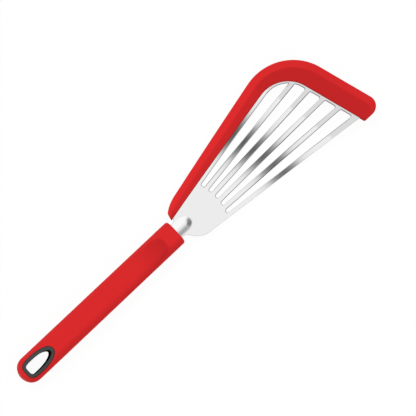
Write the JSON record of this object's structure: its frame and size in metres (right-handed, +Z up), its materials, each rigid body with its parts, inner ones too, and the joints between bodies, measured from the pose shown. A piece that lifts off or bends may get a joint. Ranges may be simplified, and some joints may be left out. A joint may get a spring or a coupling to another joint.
{
  "type": "slotted kitchen turner",
  "caption": "Slotted kitchen turner: a bent steel blade with a fan of slots, a soft red edge on its left and front sides, and a soft red handle with a thumb dip and hanging hole.",
  "frame": {"origin": "middle of the footprint, on the table that the turner lies on", "axes": "+X from the butt of the handle to the tip of the blade, +Y to the left, +Z up"},
  "size_m": [0.3332, 0.0802, 0.015],
  "materials": {
    "blade_steel": "polished",
    "edge_silicone": "satin",
    "core_plastic": "matte",
    "grip_soft": "satin",
    "ring_plastic": "satin"
  },
  "bodies": {
    "root": {"blade": "blade_steel", "silicone_edge": "edge_silicone", "handle_core": "core_plastic", "handle_grip": "grip_soft", "hang_ring": "ring_plastic"}
  },
  "joints": []
}
